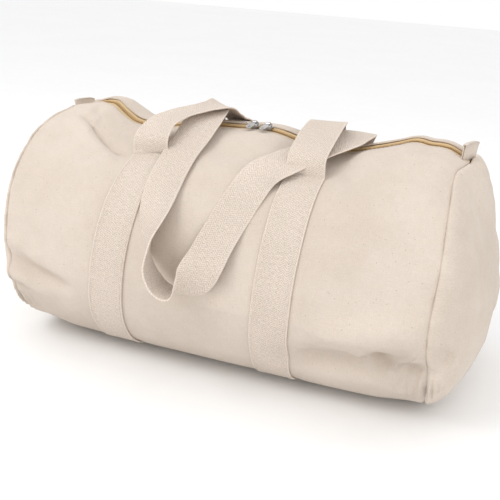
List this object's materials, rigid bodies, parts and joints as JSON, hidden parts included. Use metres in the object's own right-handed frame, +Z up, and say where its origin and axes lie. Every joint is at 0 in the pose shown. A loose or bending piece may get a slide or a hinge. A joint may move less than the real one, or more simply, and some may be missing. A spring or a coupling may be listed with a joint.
{
  "type": "duffel bag",
  "caption": "Cotton canvas barrel duffel bag with domed ends, wrap-round webbing bands, long webbing carry handles and a two-way zip along the top.",
  "frame": {"origin": "middle of the flat canvas base, on the surface that the bag stands on", "axes": "+X along the bag, -Y towards its front, +Z up"},
  "size_m": [0.5482, 0.3822, 0.2721],
  "materials": {
    "canvas": "natural cotton canvas",
    "webbing": "natural cotton webbing",
    "zip_tape": "tan woven tape",
    "zip_coil": "tan moulded coil",
    "metal": "nickel-plated zinc"
  },
  "bodies": {
    "bag": {"main_panel": "canvas", "end_panel_left": "canvas", "end_panel_right": "canvas", "seam_binding_left": "canvas", "seam_binding_right": "canvas", "end_tab_left": "canvas", "end_tab_right": "canvas", "band_left": "webbing", "band_right": "webbing", "handle_rear_strap_left": "webbing", "handle_rear_strap_right": "webbing", "zip_tape_front": "zip_tape", "zip_tape_rear": "zip_tape", "zip_coil_front": "zip_coil", "zip_coil_rear": "zip_coil"},
    "front_handle": {"handle_front": "webbing"},
    "rear_handle_loop": {"handle_rear_loop": "webbing"},
    "slider_left_body": {"slider_left": "metal"},
    "slider_right_body": {"slider_right": "metal"},
    "pull_left_body": {"pull_left": "metal"},
    "pull_right_body": {"pull_right": "metal"}
  },
  "joints": [
    {"name": "front_handle_lift", "type": "hinge", "parent": "bag", "child": "front_handle", "pos_m": [0, -0.088, 0.2305], "axis": [1, 0, 0], "range_deg": [0, 100]},
    {"name": "rear_loop_swing", "type": "hinge", "parent": "bag", "child": "rear_handle_loop", "pos_m": [0, -0.11, 0.207], "axis": [-1, 0, 0], "range_deg": [0, 75]},
    {"name": "slider_left_slide", "type": "slide", "parent": "bag", "child": "slider_left_body", "axis": [-0.9992, 0, 0.04], "range_m": [0, 0.18]},
    {"name": "slider_right_slide", "type": "slide", "parent": "bag", "child": "slider_right_body", "axis": [0.9992, 0, 0.04], "range_m": [0, 0.18]},
    {"name": "pull_left_swing", "type": "hinge", "parent": "slider_left_body", "child": "pull_left_body", "pos_m": [-0.00779, 0, 0.25477], "axis": [-0.9992, 0, 0.04], "range_deg": [0, 164]},
    {"name": "pull_right_swing", "type": "hinge", "parent": "slider_right_body", "child": "pull_right_body", "pos_m": [0.00779, 0, 0.25477], "axis": [-0.9992, 0, -0.04], "range_deg": [0, 164]}
  ]
}
